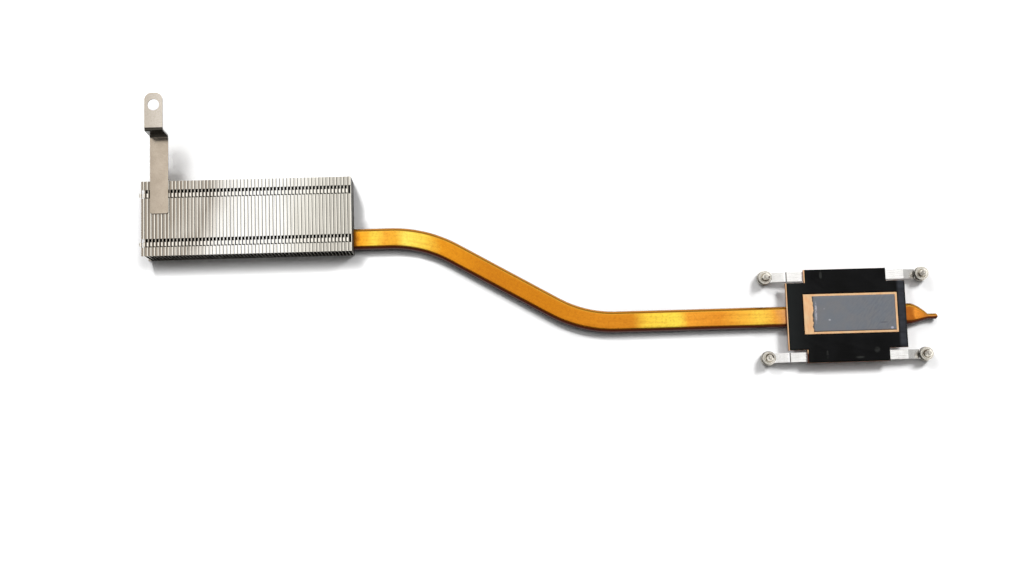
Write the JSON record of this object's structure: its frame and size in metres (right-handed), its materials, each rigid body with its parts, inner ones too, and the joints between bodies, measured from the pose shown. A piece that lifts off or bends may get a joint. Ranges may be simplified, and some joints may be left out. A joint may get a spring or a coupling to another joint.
{
  "type": "laptop heatsink module",
  "caption": "Laptop heatsink: a zipped fin stack, a bent flat heat pipe and a copper contact plate with leaf springs and captive screws.",
  "frame": {"origin": "centre of the processor contact face, on top of its paste layer", "axes": "+Z out of the contact face, +X from the fin stack along the module to the contact plate, +Y towards the fan bracket's ear"},
  "size_m": [0.2543, 0.0899, 0.0194],
  "materials": {
    "fin_sheet": "bright rolled sheet",
    "pipe_copper": "lacquered copper",
    "plate_copper": "bare milled copper",
    "black_film": "semi-gloss film",
    "grey_paste": "dried printed paste",
    "spring_steel": "bright spring steel",
    "nickel_plate": "nickel plate",
    "bracket_steel": "plated sheet steel"
  },
  "bodies": {
    "module": {"cooling_fins": "fin_sheet", "fin_far_end": "fin_sheet", "fin_near_end": "fin_sheet", "heat_pipe": "pipe_copper", "base_plate": "plate_copper", "insulating_film": "black_film", "thermal_paste": "grey_paste", "leaf_spring_front": "spring_steel", "leaf_spring_rear": "spring_steel", "fan_bracket": "bracket_steel"},
    "ring_front_left_body": {"ring_front_left": "nickel_plate"},
    "screw_front_left_body": {"screw_front_left": "nickel_plate"},
    "ring_front_right_body": {"ring_front_right": "nickel_plate"},
    "screw_front_right_body": {"screw_front_right": "nickel_plate"},
    "ring_rear_left_body": {"ring_rear_left": "nickel_plate"},
    "screw_rear_left_body": {"screw_rear_left": "nickel_plate"},
    "ring_rear_right_body": {"ring_rear_right": "nickel_plate"},
    "screw_rear_right_body": {"screw_rear_right": "nickel_plate"}
  },
  "joints": [
    {"name": "travel_front_left", "type": "slide", "parent": "module", "child": "ring_front_left_body", "axis": [0, 0, 1], "range_m": [-0.0007, 0]},
    {"name": "turn_front_left", "type": "hinge", "parent": "ring_front_left_body", "child": "screw_front_left_body", "pos_m": [-0.0268, -0.0136, -0.0015], "axis": [0, 0, 1], "continuous": true},
    {"name": "travel_front_right", "type": "slide", "parent": "module", "child": "ring_front_right_body", "axis": [0, 0, 1], "range_m": [-0.0007, 0]},
    {"name": "turn_front_right", "type": "hinge", "parent": "ring_front_right_body", "child": "screw_front_right_body", "pos_m": [0.0242, -0.0136, -0.0015], "axis": [0, 0, 1], "continuous": true},
    {"name": "travel_rear_left", "type": "slide", "parent": "module", "child": "ring_rear_left_body", "axis": [0, 0, 1], "range_m": [-0.0007, 0]},
    {"name": "turn_rear_left", "type": "hinge", "parent": "ring_rear_left_body", "child": "screw_rear_left_body", "pos_m": [-0.0268, 0.0124, -0.0015], "axis": [0, 0, 1], "continuous": true},
    {"name": "travel_rear_right", "type": "slide", "parent": "module", "child": "ring_rear_right_body", "axis": [0, 0, 1], "range_m": [-0.0007, 0]},
    {"name": "turn_rear_right", "type": "hinge", "parent": "ring_rear_right_body", "child": "screw_rear_right_body", "pos_m": [0.0242, 0.0124, -0.0015], "axis": [0, 0, 1], "continuous": true}
  ]
}
